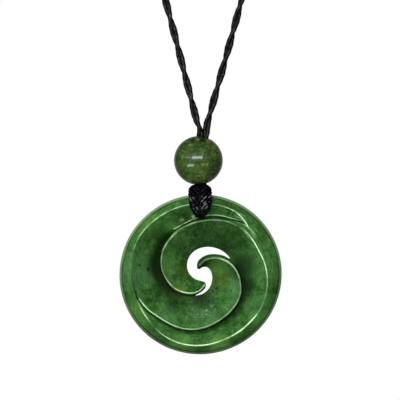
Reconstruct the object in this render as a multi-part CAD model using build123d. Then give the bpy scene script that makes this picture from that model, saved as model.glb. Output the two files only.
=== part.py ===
"""Koru pendant: a carved jade disc lashed under a jade bead on a neck cord, hanging as it is worn.

Millimetres. The origin is on the wearer's nape, +X to the viewer's right, the disc's carved face to -Y.
"""
from build123d import *
import os
from bisect import bisect_right
from collections import namedtuple
from math import copysign, cos, pi, radians, sin, sqrt, tan

os.makedirs("parts", exist_ok=True)

# Carved disc
DISC_RADIUS = 20.0
DISC_THICKNESS = 6.4
OVAL_SHARE = 0.009  # by which the hand-cut outline is longer one way and shorter across
OVAL_TURN = -15  # clockwise turn from +X of the longer way, degrees
RIM_SHARE = 0.42  # height of the rim's widest line above the flat back, of the thickness
RIM_START = 25  # slope at which the rim leaves the outer crest, degrees
BACK_SOFTENING = 1.6
CORD_HOLE_RADIUS = 1.45
CORD_HOLE_SHARE = 0.7725  # its height above the disc's centre, of the disc's radius

# Steps of the carving, all in whole steps of the clockwise turn from +X
STEP = 3
TURN_STEPS = 360 // STEP
UPPER_TIP, UPPER_END = -120 // STEP, 312 // STEP
LOWER_TIP, LOWER_END = 60 // STEP, 516 // STEP
LOWER_HORN = 105 // STEP  # where the slot beside the lower tip closes
UPPER_HORN = -27 // STEP  # where the slot beside the upper tip closes
LOWER_LAST = UPPER_HORN + TURN_STEPS  # the same place, counted along the lower frond
TIP_ROUNDING = 9  # turn over which a tip rounds off, degrees
END_TAPER = 15  # turn over which a frond runs out into its neighbour's crest, degrees
SCOOP_CELLS = 6
SCOOP_SPACING = 1.5  # the cells are narrower near the foot
TIP_WALL_SHARE = 0.04  # width at which a tip has its whole outer side, of the disc's radius
RIM_CELLS = 5
BACK_CELLS = 3

# Each frond by the clockwise turn from its own tip, in degrees.
# crest: radius of its high edge; flat: width of the level strip outside it; wall: width of the steep
# outer side; all shares of the disc's radius. foot: height of its inner edge, and height: of its
# crest, shares of the thickness. scoop: how hollow the slope between them is.
Frond = namedtuple("Frond", "turn crest flat wall foot height scoop")
UPPER_FROND = [
    Frond(0, 0.099, 0.000, 0.003, 0.50, 0.74, 1.3),
    Frond(12, 0.100, 0.000, 0.046, 0.50, 0.80, 1.3),
    Frond(30, 0.125, 0.000, 0.070, 0.50, 0.85, 1.3),
    Frond(48, 0.183, 0.000, 0.066, 0.48, 0.88, 1.3),
    Frond(66, 0.251, 0.000, 0.056, 0.48, 0.91, 1.3),
    Frond(90, 0.349, 0.000, 0.048, 0.47, 0.95, 1.4),
    Frond(110, 0.433, 0.000, 0.022, 0.46, 0.98, 1.4),
    Frond(130, 0.498, 0.000, 0.020, 0.46, 1.00, 1.4),
    Frond(150, 0.553, 0.000, 0.022, 0.46, 1.00, 1.4),
    Frond(170, 0.581, 0.000, 0.024, 0.46, 1.00, 1.5),
    Frond(190, 0.612, 0.000, 0.026, 0.46, 1.00, 1.5),
    Frond(210, 0.663, 0.000, 0.026, 0.45, 1.00, 1.6),
    Frond(230, 0.712, 0.000, 0.026, 0.43, 1.00, 1.7),
    Frond(250, 0.752, 0.000, 0.026, 0.38, 1.00, 1.9),
    Frond(268, 0.802, 0.000, 0.020, 0.35, 1.00, 1.9),
    Frond(290, 0.848, 0.000, 0.020, 0.34, 1.00, 1.9),
    Frond(310, 0.874, 0.000, 0.020, 0.36, 1.00, 1.8),
    Frond(330, 0.906, 0.000, 0.020, 0.41, 1.00, 1.5),
    Frond(350, 0.897, 0.000, 0.020, 0.48, 1.00, 1.0),
    Frond(370, 0.889, 0.000, 0.020, 0.54, 1.00, 0.7),
    Frond(390, 0.883, 0.000, 0.020, 0.60, 1.00, 0.55),
    Frond(410, 0.886, 0.000, 0.020, 0.66, 1.00, 0.5),
    Frond(432, 0.840, 0.000, 0.020, 0.74, 1.00, 0.5),
]
LOWER_FROND = [
    Frond(0, 0.142, 0.000, 0.004, 0.50, 0.74, 1.3),
    Frond(12, 0.143, 0.000, 0.038, 0.50, 0.80, 1.3),
    Frond(30, 0.188, 0.000, 0.036, 0.50, 0.86, 1.3),
    Frond(48, 0.237, 0.000, 0.036, 0.48, 0.90, 1.3),
    Frond(70, 0.291, 0.000, 0.028, 0.48, 0.94, 1.4),
    Frond(90, 0.354, 0.000, 0.024, 0.47, 0.97, 1.4),
    Frond(110, 0.424, 0.000, 0.022, 0.46, 1.00, 1.4),
    Frond(130, 0.499, 0.000, 0.022, 0.46, 1.00, 1.4),
    Frond(150, 0.564, 0.000, 0.022, 0.46, 1.00, 1.4),
    Frond(170, 0.599, 0.000, 0.024, 0.46, 1.00, 1.5),
    Frond(190, 0.635, 0.000, 0.024, 0.46, 1.00, 1.5),
    Frond(210, 0.672, 0.000, 0.024, 0.45, 1.00, 1.6),
    Frond(230, 0.721, 0.000, 0.022, 0.44, 1.00, 1.6),
    Frond(240, 0.747, 0.004, 0.020, 0.44, 1.00, 1.6),
    Frond(252, 0.766, 0.062, 0.018, 0.44, 1.00, 1.6),
    Frond(264, 0.776, 0.044, 0.018, 0.43, 1.00, 1.7),
    Frond(278, 0.788, 0.034, 0.018, 0.40, 1.00, 1.8),
    Frond(292, 0.815, 0.010, 0.018, 0.36, 1.00, 1.9),
    Frond(310, 0.834, 0.000, 0.018, 0.34, 1.00, 1.9),
    Frond(330, 0.848, 0.000, 0.018, 0.35, 1.00, 1.8),
    Frond(350, 0.848, 0.000, 0.018, 0.40, 1.00, 1.5),
    Frond(370, 0.858, 0.000, 0.018, 0.47, 1.00, 1.0),
    Frond(390, 0.886, 0.000, 0.018, 0.54, 1.00, 0.7),
    Frond(410, 0.888, 0.000, 0.018, 0.60, 1.00, 0.55),
    Frond(430, 0.864, 0.000, 0.018, 0.66, 1.00, 0.5),
    Frond(456, 0.838, 0.000, 0.018, 0.74, 1.00, 0.5),
]

# Edge of the pierced hole along each frond's inner side, up to the horn of the other frond's slot
Edge = namedtuple("Edge", "turn radius")
UPPER_EDGE = [
    Edge(0, 0.079), Edge(12, 0.067), Edge(24, 0.070), Edge(36, 0.080), Edge(52, 0.097), Edge(75, 0.121),
    Edge(98, 0.131), Edge(120, 0.139), Edge(150, 0.163), Edge(180, 0.206), Edge(205, 0.247),
    Edge(225, 0.276),
]
LOWER_EDGE = [
    Edge(0, 0.114), Edge(12, 0.096), Edge(30, 0.083), Edge(60, 0.083), Edge(85, 0.096), Edge(110, 0.120),
    Edge(135, 0.163), Edge(160, 0.217), Edge(190, 0.287), Edge(220, 0.343), Edge(250, 0.391),
    Edge(273, 0.419),
]

# Lashing, round a closed loop from the cord hole (turn 0) past the front of the rim to the top (180).
# out: in front of the disc's middle plane, of half the thickness; rise: above the disc's centre, of its
# radius; wide and thick: of the binding's greatest width and thickness.
LASHING_WIDTH = 5.6
LASHING_DEPTH = 2.2
LASHING_FLATNESS = 0.7  # below 1, the section is fuller at its corners than an ellipse
LASHING_STEPS = 48
LASHING_SIDES = 16
LASHING_SHIFT = -0.1  # the binding sits a little to the viewer's left
Station = namedtuple("Station", "turn out rise wide thick")
LASHING = [
    Station(0, 0.00, 0.7725, 0.30, 0.86),
    Station(20, 0.97, 0.7700, 0.30, 0.86),
    Station(40, 1.31, 0.7500, 0.48, 0.95),
    Station(60, 1.41, 0.8050, 0.70, 0.82),
    Station(85, 1.35, 0.8750, 0.93, 0.73),
    Station(110, 1.33, 0.9450, 1.00, 0.77),
    Station(135, 1.16, 1.0025, 1.00, 0.86),
    Station(160, 0.72, 1.0475, 0.93, 0.95),
    Station(180, 0.00, 1.0625, 0.82, 1.00),
]
LASHING_TOP = DISC_RADIUS * LASHING[-1].rise + LASHING_DEPTH / 2  # above the disc's centre

# Neck cord: each side is one twisted strand, and the two leave the bead side by side
CORD_DIAMETER = 1.55
STRAND_GAP = 0.15
CORD_GAP = 0.35  # between the lashing's top and the strands' lower ends
PARTING_GAP = 2.2  # above the bead, where the strands part
PARTING_RADIUS = 10.0  # pulled tight there, so the bend is short
ARC_SHARE = 0.45  # of the shorter run beside a bend, taken up by the bend

# Bead. Its bore leans, as the cord pair does. Shifts are to the viewer's right of the disc's centre.
BEAD_RADIUS = 6.03
BEAD_SHIFT = -0.55
BEAD_DIP = 0.18  # how far the bead's lowest point lies below the lashing's top, round the bore's edge
BORE_CLEARANCE = 0.175
BORE_TOP_SHIFT = 0.6
BORE_FOOT_SHIFT = -0.2
BEAD_RISE = LASHING_TOP - BEAD_DIP + BEAD_RADIUS
BORE_RADIUS = CORD_DIAMETER + STRAND_GAP / 2 + BORE_CLEARANCE
CORD_START_RISE = LASHING_TOP + CORD_GAP
PARTING_RISE = BEAD_RISE + BEAD_RADIUS + PARTING_GAP

# Where the disc hangs from the nape, and half the width of the worn loop
FRONT = 138.0
DROP = 270.0
LOOP_HALF_WIDTH = 62.0

# One side of the neck cord past the parting. side: out to the side, of the loop's half width; lean: how
# much of the cord pair's own shift is still in it; back: of the way from the front to the nape; rise: of
# the height from the parting to the nape.
Point = namedtuple("Point", "side lean back rise")
ROUTE = [
    Point(0.160, 1, 0.000, 0.1455),
    Point(0.395, 0, 0.029, 0.3835),
    Point(0.660, 0, 0.121, 0.6190),
    Point(0.903, 0, 0.335, 0.8115),
    Point(1.000, 0, 0.613, 0.9187),
    Point(0.806, 0, 0.862, 0.9786),
    Point(0.435, 0, 0.997, 0.9996),
]

# Join at the nape
KNOT_LENGTH = 9.0
KNOT_WALL = 1.4
KNOT_CLEARANCE = 0.225
KNOT_SOFTENING = 0.8
END_GAP = 0.3
KNOT_BORE_RADIUS = CORD_DIAMETER / 2 + KNOT_CLEARANCE
KNOT_RADIUS = KNOT_BORE_RADIUS + KNOT_WALL


def smooth(rows, column, turn):
    """A column's value at a turn, on a smooth curve through the table's rows."""
    turns = [row.turn for row in rows]
    values = [getattr(row, column) for row in rows]
    last = len(rows) - 1
    low = min(max(bisect_right(turns, turn) - 1, 0), last - 1)
    span = turns[low + 1] - turns[low]
    share = min(max((turn - turns[low]) / span, 0), 1)
    rest = 1 - share

    def slope(row):
        before = max(row - 1, 0)
        after = min(row + 1, last)
        return (values[after] - values[before]) / (turns[after] - turns[before]) * span

    ends = values[low] * rest * rest * (1 + 2 * share) + values[low + 1] * share * share * (1 + 2 * rest)
    return ends + share * rest * (slope(low) * rest - slope(low + 1) * share)


def rim_radius(step):
    """Radius of the disc's slightly oval outline."""
    return DISC_RADIUS * (1 + OVAL_SHARE * cos(2 * radians(step * STEP - OVAL_TURN)))


def place(step, point):
    """A point in the disc's own frame, x to the right, y up and z out of the carved face."""
    radius, height = point
    angle = -radians(step % TURN_STEPS * STEP)
    return (radius * cos(angle), radius * sin(angle), height)


def outer_crest(rows, turn):
    """Radius of the outer side of a frond's crest."""
    return (smooth(rows, "crest", turn) + max(smooth(rows, "flat", turn), 0)) * DISC_RADIUS


def wall_foot(rows, turn):
    """Radius of the foot of a frond's steep outer side."""
    return outer_crest(rows, turn) + smooth(rows, "wall", turn) * DISC_RADIUS


def frond_section(rows, turn, inner, end_turn, end_crest):
    """Points across one frond, radius and height, from its inner edge to the outer side of its crest."""
    crest = smooth(rows, "crest", turn) * DISC_RADIUS
    outer = outer_crest(rows, turn)
    foot = smooth(rows, "foot", turn) * DISC_THICKNESS
    height = min(smooth(rows, "height", turn), 1) * DISC_THICKNESS
    scoop = smooth(rows, "scoop", turn)
    if turn < TIP_ROUNDING:
        opened = sqrt(1 - (1 - turn / TIP_ROUNDING) ** 2)
        radius = (inner + outer) / 2
        level = (foot + height) / 2
    else:
        opened = min((end_turn - turn) / END_TAPER, 1)
        radius = end_crest
        level = height
    points = []
    for cell in range(SCOOP_CELLS + 1):
        across = (cell / SCOOP_CELLS) ** SCOOP_SPACING
        points.append((inner + (crest - inner) * across, foot + (height - foot) * across**scoop))
    points.append((outer, height))
    return [(radius + (r - radius) * opened, level + (h - level) * opened) for r, h in points]


def upper_turn(step):
    """Turn from the upper frond's tip."""
    return (step - UPPER_TIP) * STEP


def lower_turn(step):
    """Turn from the lower frond's tip."""
    return (step - LOWER_TIP) * STEP


def upper_sections():
    """Sections of the upper frond by step. Past the lower horn it starts at the lower frond's wall."""
    sections = {}
    end = outer_crest(LOWER_FROND, lower_turn(UPPER_END))
    for step in range(UPPER_TIP, UPPER_END + 1):
        inner = smooth(UPPER_EDGE, "radius", upper_turn(step)) * DISC_RADIUS
        if step >= LOWER_HORN:
            inner = wall_foot(LOWER_FROND, lower_turn(step))
        sections[step] = frond_section(UPPER_FROND, upper_turn(step), inner, upper_turn(UPPER_END), end)
    return sections


def lower_sections():
    """Sections of the lower frond by step. Past the upper horn it starts at the upper frond's wall."""
    sections = {}
    end = outer_crest(UPPER_FROND, upper_turn(LOWER_END - TURN_STEPS))
    for step in range(LOWER_TIP, LOWER_END + 1):
        inner = smooth(LOWER_EDGE, "radius", lower_turn(step)) * DISC_RADIUS
        if step >= LOWER_LAST:
            inner = wall_foot(UPPER_FROND, upper_turn(step - TURN_STEPS))
        sections[step] = frond_section(LOWER_FROND, lower_turn(step), inner, lower_turn(LOWER_END), end)
    return sections


def slot_wall(section, horn_section, wall):
    """The side of a slot: from the crest's outer side to the slot's edge and down to the flat back."""
    crest = section[-1]
    tip_share = min((crest[0] - section[0][0]) / (TIP_WALL_SHARE * DISC_RADIUS), 1)
    edge = crest[0] + wall * DISC_RADIUS * tip_share
    return [crest, (edge, horn_section[0][1]), (edge, 0)]


def rim(section, step):
    """The rounded rim: from the outermost crest out to the outline and in to the flat back."""
    radius, height = section[-1]
    outline = rim_radius(step)
    widest = RIM_SHARE * DISC_THICKNESS
    start = radians(RIM_START)
    points = [section[-1]]
    for cell in range(1, RIM_CELLS + 1):
        angle = start + (pi / 2 - start) * cell / RIM_CELLS
        across = (sin(angle) - sin(start)) / (1 - sin(start))
        down = cos(angle) / cos(start)
        points.append((radius + (outline - radius) * across, widest + (height - widest) * down))
    for cell in range(1, BACK_CELLS + 1):
        angle = pi / 2 * cell / BACK_CELLS
        points.append((outline - BACK_SOFTENING * (1 - cos(angle)), widest * (1 - sin(angle))))
    return points


def facets(near, far):
    """Triangles between two neighbouring rows of points."""
    faces = []
    for a, b, c, d in zip(near[:-1], far[:-1], far[1:], near[1:]):
        for corners in ((a, b, c), (a, c, d)):
            if len({tuple(round(value, 6) for value in corner) for corner in corners}) == 3:
                faces.append(Face(Wire.make_polygon(corners)))
    return faces


def band(columns):
    """Triangles over a run of columns of disc points, keyed by step."""
    steps = sorted(columns)
    faces = []
    for step, following in zip(steps[:-1], steps[1:]):
        near = [place(step, point) for point in columns[step]]
        far = [place(following, point) for point in columns[following]]
        faces += facets(near, far)
    return faces


def slot_sections(upper, lower):
    """Walls of the two slots from the crests down to the flat back, each closing at its horn."""
    upper_slot = {}
    for step in range(UPPER_TIP, UPPER_HORN + 1):
        wall = smooth(UPPER_FROND, "wall", upper_turn(step))
        upper_slot[step] = slot_wall(upper[step], lower[LOWER_LAST], wall)
    lower_slot = {}
    for step in range(LOWER_TIP, LOWER_HORN + 1):
        wall = smooth(LOWER_FROND, "wall", lower_turn(step))
        lower_slot[step] = slot_wall(lower[step], upper[LOWER_HORN], wall)
    upper_slot[UPPER_HORN][1:] = [lower[LOWER_LAST][0], (lower[LOWER_LAST][0][0], 0)]
    lower_slot[LOWER_HORN][1:] = [upper[LOWER_HORN][0], (upper[LOWER_HORN][0][0], 0)]
    return upper_slot, lower_slot


def hole_sections(sections, tip, last):
    """Wall of the pierced hole along a frond's inner edge."""
    return {step: [(sections[step][0][0], 0), sections[step][0]] for step in range(tip, last + 1)}


def koru_disc():
    """The carved disc in its own frame, its flat back at z = 0."""
    upper = upper_sections()
    lower = lower_sections()
    upper_slot, lower_slot = slot_sections(upper, lower)
    upper_hole = hole_sections(upper, UPPER_TIP, LOWER_HORN)
    lower_hole = hole_sections(lower, LOWER_TIP, LOWER_LAST)
    upper_wall = range(UPPER_HORN, LOWER_END - TURN_STEPS + 1)
    upper_groove = {step: [upper[step][-1], lower[step + TURN_STEPS][0]] for step in upper_wall}
    lower_wall = range(LOWER_HORN, UPPER_END + 1)
    lower_groove = {step: [lower[step][-1], upper[step][0]] for step in lower_wall}
    upper_rim = {step: rim(upper[step], step) for step in range(LOWER_END - TURN_STEPS, UPPER_END + 1)}
    lower_rim = {step: rim(lower[step], step) for step in range(UPPER_END, LOWER_END + 1)}
    faces = []
    for columns in (upper, lower, upper_hole, lower_hole, upper_slot, lower_slot):
        faces += band(columns)
    for columns in (upper_groove, lower_groove, upper_rim, lower_rim):
        faces += band(columns)
    hole = [place(step, lower_slot[step][-1]) for step in range(LOWER_HORN - 1, LOWER_TIP, -1)]
    hole += [place(step, lower_hole[step][0]) for step in range(LOWER_TIP, LOWER_LAST + 1)]
    hole += [place(step, upper_slot[step][-1]) for step in range(UPPER_HORN - 1, UPPER_TIP, -1)]
    hole += [place(step, upper_hole[step][0]) for step in range(UPPER_TIP, LOWER_HORN + 1)]
    outline = [place(step, upper_rim[step][-1]) for step in range(LOWER_END - TURN_STEPS, UPPER_END)]
    outline += [place(step, lower_rim[step][-1]) for step in range(UPPER_END, LOWER_END)]
    faces.append(Face(Wire.make_polygon(outline), [Wire.make_polygon(hole)]))
    drill = Cylinder(CORD_HOLE_RADIUS, 2 * DISC_THICKNESS)
    cord_hole = Pos(0, CORD_HOLE_SHARE * DISC_RADIUS, DISC_THICKNESS / 2) * drill
    return Solid(Shell(faces)) - cord_hole


def bore_shift(rise):
    """Sideways place of the leaning cord pair and of the bead's bore at a height above the disc's centre."""
    share = (rise - (BEAD_RISE - BEAD_RADIUS)) / (2 * BEAD_RADIUS)
    return BORE_FOOT_SHIFT + (BORE_TOP_SHIFT - BORE_FOOT_SHIFT) * share


def hang(side, back, rise):
    """A point given from the disc's centre, in the pendant's frame."""
    return Vector(side, back - FRONT, rise - DROP)


def bead():
    """The drilled bead."""
    low = hang(bore_shift(BEAD_RISE - 2 * BEAD_RADIUS), 0, BEAD_RISE - 2 * BEAD_RADIUS)
    high = hang(bore_shift(BEAD_RISE + 2 * BEAD_RADIUS), 0, BEAD_RISE + 2 * BEAD_RADIUS)
    along = Plane(origin=(low + high) / 2, z_dir=high - low)
    bore = along * Cylinder(BORE_RADIUS, (high - low).length)
    return Pos(hang(BEAD_SHIFT, 0, BEAD_RISE)) * Sphere(BEAD_RADIUS) - bore


def lashing_station(step):
    """Centre, width and thickness of the binding at one step of its loop. The back mirrors the front."""
    turn = step * 360 / LASHING_STEPS % 360
    side = 1
    if turn > 180:
        turn = 360 - turn
        side = -1
    out = smooth(LASHING, "out", turn) * DISC_THICKNESS / 2
    rise = smooth(LASHING, "rise", turn) * DISC_RADIUS
    wide = smooth(LASHING, "wide", turn) * LASHING_WIDTH
    thick = smooth(LASHING, "thick", turn) * LASHING_DEPTH
    return hang(LASHING_SHIFT, -side * out, rise), wide, thick


def lashing():
    """The binding as one closed ring of flattened round section through the cord hole."""
    rings = []
    for step in range(LASHING_STEPS):
        centre, wide, thick = lashing_station(step)
        along = (lashing_station(step + 1)[0] - lashing_station(step - 1)[0]).normalized()
        outward = along.cross(Vector(1, 0, 0))
        ring = []
        for side in range(LASHING_SIDES + 1):
            angle = 2 * pi * (side % LASHING_SIDES) / LASHING_SIDES
            across = copysign(abs(cos(angle)) ** LASHING_FLATNESS, cos(angle)) * wide / 2
            through = copysign(abs(sin(angle)) ** LASHING_FLATNESS, sin(angle)) * thick / 2
            ring.append(tuple(centre + Vector(1, 0, 0) * across + outward * through))
        rings.append(ring)
    faces = []
    for near, far in zip(rings, rings[1:] + rings[:1]):
        faces += facets(near, far)
    return Solid(Shell(faces))


def cord_points(side):
    """Corners of one side of the neck cord, from inside the bead to the nape. side: -1 left, 1 right."""
    points = []
    beside = side * (CORD_DIAMETER + STRAND_GAP) / 2
    for rise in (CORD_START_RISE, PARTING_RISE):
        points.append(hang(bore_shift(rise) + beside, 0, rise))
    for point in ROUTE:
        across = side * point.side * LOOP_HALF_WIDTH + point.lean * bore_shift(PARTING_RISE)
        back = point.back * (FRONT + KNOT_RADIUS)
        rise = PARTING_RISE + point.rise * (DROP - PARTING_RISE)
        points.append(hang(across, back, rise))
    points.append(Vector(side * END_GAP / 2, KNOT_RADIUS, 0))
    return points


def arc_radius(before, corner, after):
    """Radius of the bend at a corner of the cord: as large as its two runs allow."""
    turn = radians((corner - before).get_angle(after - corner))
    return ARC_SHARE * min((corner - before).length, (after - corner).length) / tan(turn / 2)


def neck_cord(side, name):
    """One side of the neck cord as a plain round tube."""
    points = cord_points(side)
    radii = [arc_radius(*points[corner - 1 : corner + 2]) for corner in range(1, len(points) - 1)]
    radii[0] = PARTING_RADIUS
    path = FilletPolyline(*points, radius=radii)
    print(name, "radii", [round(radius, 1) for radius in radii], "length", round(path.length, 1))
    tube = sweep(Plane(origin=path @ 0, z_dir=path % 0) * Circle(CORD_DIAMETER / 2), path=path)
    solid = pi * CORD_DIAMETER**2 / 4 * path.length
    print("volume over section times length", round(tube.volume / solid, 4))
    return tube


def nape_knot():
    """The plain barrel in which the two cord ends meet."""
    barrel = fillet(Cylinder(KNOT_RADIUS, KNOT_LENGTH).edges(), KNOT_SOFTENING)
    barrel -= Cylinder(KNOT_BORE_RADIUS, 2 * KNOT_LENGTH)
    return Pos(0, KNOT_RADIUS, 0) * Rot(0, 90, 0) * barrel


hanging_disc = Pos(hang(0, DISC_THICKNESS / 2, 0)) * Rot(90, 0, 0) * koru_disc()
pieces = {
    "koru_disc": hanging_disc,
    "bead": bead(),
    "lashing": lashing(),
    "neck_cord_left": neck_cord(-1, "left"),
    "neck_cord_right": neck_cord(1, "right"),
    "nape_knot": nape_knot(),
}
for name, piece in pieces.items():
    export_step(piece, f"parts/{name}.step")
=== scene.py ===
"""Koru pendant: a carved jade disc lashed under a jade bead on a twisted neck cord, hanging as it is worn.

Metres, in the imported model's frame: the origin is on the wearer's nape, +X is the viewer's right, and the
disc's carved face looks to -Y.
"""
from bisect import bisect_right
from collections import namedtuple
from functools import partialmethod
from math import cos, pi, radians, sin, sqrt

import bmesh
import bpy
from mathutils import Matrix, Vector


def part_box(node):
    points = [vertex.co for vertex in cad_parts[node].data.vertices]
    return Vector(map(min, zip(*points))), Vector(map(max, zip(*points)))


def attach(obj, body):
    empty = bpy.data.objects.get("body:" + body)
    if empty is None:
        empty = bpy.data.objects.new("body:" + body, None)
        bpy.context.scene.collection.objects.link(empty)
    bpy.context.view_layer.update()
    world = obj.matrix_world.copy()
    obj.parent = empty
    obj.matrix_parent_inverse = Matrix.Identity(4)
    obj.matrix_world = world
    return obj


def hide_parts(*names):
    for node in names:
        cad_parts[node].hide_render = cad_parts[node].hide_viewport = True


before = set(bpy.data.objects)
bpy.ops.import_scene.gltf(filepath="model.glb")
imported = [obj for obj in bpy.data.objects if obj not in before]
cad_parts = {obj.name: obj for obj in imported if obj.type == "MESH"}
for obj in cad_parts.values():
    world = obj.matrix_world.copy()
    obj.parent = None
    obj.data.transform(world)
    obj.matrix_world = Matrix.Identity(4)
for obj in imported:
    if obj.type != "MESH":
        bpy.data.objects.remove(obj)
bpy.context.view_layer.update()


# Camera. It stands level, 60 cm in front of the disc, and its picture is centred between bead and disc,
# so the two strands leave the picture at the top.
DISC_RADIUS = 0.020
DISC_PIXELS = 80.9  # the disc's radius in the picture
PICTURE_PIXELS = 400
PICTURE_CENTRE = (-0.6, 74.4)  # right of and above the disc's centre, in pixels
CAMERA_DISTANCE = 0.6
SENSOR_WIDTH = 0.036


def show(name, data):
    """A new object in the scene."""
    item = bpy.data.objects.new(name, data)
    bpy.context.scene.collection.objects.link(item)
    return item


disc_low, disc_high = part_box("koru_disc")
disc_centre = (disc_low + disc_high) / 2
pixel = DISC_RADIUS / DISC_PIXELS
camera_data = bpy.data.cameras.new("camera")
camera_data.sensor_width = 1000 * SENSOR_WIDTH
camera_data.lens = 1000 * SENSOR_WIDTH * CAMERA_DISTANCE / (PICTURE_PIXELS * pixel)
camera = show("camera", camera_data)
camera.location = disc_centre + Vector((
    PICTURE_CENTRE[0] * pixel, -CAMERA_DISTANCE, PICTURE_CENTRE[1] * pixel
))
camera.rotation_euler = (radians(90), 0, 0)
bpy.context.scene.camera = camera


# Studio. A pale round table stands under the hanging pendant, in a white room lit by one large soft lamp
# from the upper left and by three slim lamps near the camera, which give the polish its glints.
FLOOR_DROP = 0.1  # below the camera
FLOOR_RADIUS = 0.4
FLOOR_SIDES = 96
WINDOW_AZIMUTH, WINDOW_ELEVATION = -50, 38  # to the right of the camera and above it, degrees
WHITE = (1, 1, 1, 1)


class Field:
    """An output of a node. Its arithmetic adds Math nodes to its tree, or Vector Math nodes for a vector."""

    def __init__(self, socket):
        self.socket = socket
        self.tree = socket.id_data
        self.is_vector = socket.type in ("VECTOR", "RGBA")

    def of(self, operation, *values):
        """The output of a Math node whose first input is this one."""
        kind = "ShaderNodeVectorMath" if self.is_vector else "ShaderNodeMath"
        output = "Value" if operation in ("DOT_PRODUCT", "DISTANCE", "LENGTH") else 0
        return field(self.tree, kind, dict(enumerate((self, *values))), output, operation=operation)

    __add__ = partialmethod(of, "ADD")
    __sub__ = partialmethod(of, "SUBTRACT")
    __truediv__ = partialmethod(of, "DIVIDE")
    __pow__ = partialmethod(of, "POWER")
    __abs__ = partialmethod(of, "ABSOLUTE")

    def __mul__(self, other):
        if self.is_vector and not getattr(other, "is_vector", isinstance(other, tuple)):
            return field(self.tree, "ShaderNodeVectorMath", {0: self, "Scale": other}, operation="SCALE")
        return self.of("MULTIPLY", other)


def feed(node, inputs):
    """Sets inputs of a node, each to a value or to the output of another node."""
    for name, value in dict(inputs).items():
        value = value.socket if isinstance(value, Field) else value
        if isinstance(value, bpy.types.NodeSocket):
            node.id_data.links.new(value, node.inputs[name])
        else:
            node.inputs[name].default_value = value


def add(tree, kind, inputs=(), **settings):
    """A new node of a tree."""
    node = tree.nodes.new(kind)
    for name, value in settings.items():
        setattr(node, name, value)
    feed(node, inputs)
    return node


def field(tree, kind, inputs=(), output=0, **settings):
    """An output of a new node of a tree."""
    return Field(add(tree, kind, inputs, **settings).outputs[output])


def tree_of(*values):
    """The tree of the first of the values that is a node's output."""
    return next(value.tree for value in values if isinstance(value, Field))


def parts(place):
    """The three numbers of a vector."""
    return [Field(socket) for socket in add(place.tree, "ShaderNodeSeparateXYZ", {0: place}).outputs]


def combine(*numbers):
    """The vector of three numbers."""
    return field(tree_of(*numbers), "ShaderNodeCombineXYZ", dict(enumerate(numbers)))


def ramp(value, low, high, to_low=0.0, to_high=1.0, interpolation="SMOOTHSTEP"):
    """A value moved from one range to another, clamped."""
    return field(value.tree, "ShaderNodeMapRange", {
        "Value": value, "From Min": low, "From Max": high, "To Min": to_low, "To Max": to_high,
    }, interpolation_type=interpolation)


def new_material(name, values):
    """A material and its shader, with values for the shader's inputs."""
    material = bpy.data.materials.new(name)
    material.use_nodes = True
    shader = material.node_tree.nodes["Principled BSDF"]
    feed(shader, values)
    return material, shader


def direction(azimuth, elevation):
    """The way from the disc to a lamp, from degrees to the right of the camera and above it."""
    sideways, upwards = radians(azimuth), radians(elevation)
    return Vector((sin(sideways) * cos(upwards), -cos(sideways) * cos(upwards), sin(upwards)))


floor_mesh = bpy.data.meshes.new("floor")
floor_middle = Vector((disc_centre.x, disc_centre.y, camera.location.z - FLOOR_DROP))
floor_corners = []
for side in range(FLOOR_SIDES):
    angle = 2 * pi * side / FLOOR_SIDES
    floor_corners.append(floor_middle + Vector((cos(angle), sin(angle), 0)) * FLOOR_RADIUS)
floor_mesh.from_pydata(floor_corners, [], [range(FLOOR_SIDES)])
pale_paint, _ = new_material("pale floor", {"Base Color": (0.82, 0.82, 0.81, 1), "Roughness": 0.8})
floor_mesh.materials.append(pale_paint)
floor = show("floor", floor_mesh)
floor.visible_glossy = floor.visible_diffuse = False

world = bpy.data.worlds.new("white room")
bpy.context.scene.world = world
world.use_nodes = True
room = world.node_tree
room.nodes.clear()
ray = field(room, "ShaderNodeTexCoord", output="Generated")
_, backwards, upwards = parts(ray)
at_window = ray.of("DOT_PRODUCT", direction(WINDOW_AZIMUTH, WINDOW_ELEVATION))
strengths = (
    1.0,  # as the camera sees it
    ramp(upwards, -0.5, 0.7, 0.50, 0.63, "LINEAR"),  # as it lights the pieces
    ramp(at_window, 0.78, 0.97, 0.03, 0.16) + ramp(backwards, 0.6, 1.0, 0.0, 0.35, "LINEAR"),  # mirrored
)
seen, glow, mirrored = (
    field(room, "ShaderNodeBackground", {"Color": WHITE, "Strength": strength}) for strength in strengths
)
rays = add(room, "ShaderNodeLightPath").outputs
unseen = field(room, "ShaderNodeMixShader", {0: rays["Is Glossy Ray"], 1: glow, 2: mirrored})
surface = field(room, "ShaderNodeMixShader", {0: rays["Is Camera Ray"], 1: unseen, 2: seen})
add(room, "ShaderNodeOutputWorld", {"Surface": surface})

# azimuth to the right of the camera and elevation above it, in degrees; distance, width, height, metres
Lamp = namedtuple("Lamp", "name azimuth elevation distance wide high watts mirrored")
LAMPS = [
    Lamp("soft lamp", -26, 40, 0.8, 0.5, 0.5, 6.2, False),
    Lamp("slim lamp over the camera", -6, 15, 0.7, 0.64, 0.13, 2.4, True),
    Lamp("slim lamp to the left", -50, 14, 0.7, 0.33, 0.05, 0.25, True),
    Lamp("slim lamp under the camera", -40, -21, 0.7, 0.45, 0.12, 1.2, True),
]
for lamp in LAMPS:
    light = bpy.data.lights.new(lamp.name, "AREA")
    light.shape = "RECTANGLE"
    light.size = lamp.wide
    light.size_y = lamp.high
    light.energy = lamp.watts
    stand = show(lamp.name, light)
    towards = direction(lamp.azimuth, lamp.elevation)
    stand.location = disc_centre + towards * lamp.distance
    stand.rotation_euler = towards.to_track_quat("Z", "Y").to_euler()
    stand.visible_camera = False
    stand.visible_glossy = lamp.mirrored
bpy.context.scene.view_settings.view_transform = "Standard"


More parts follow.
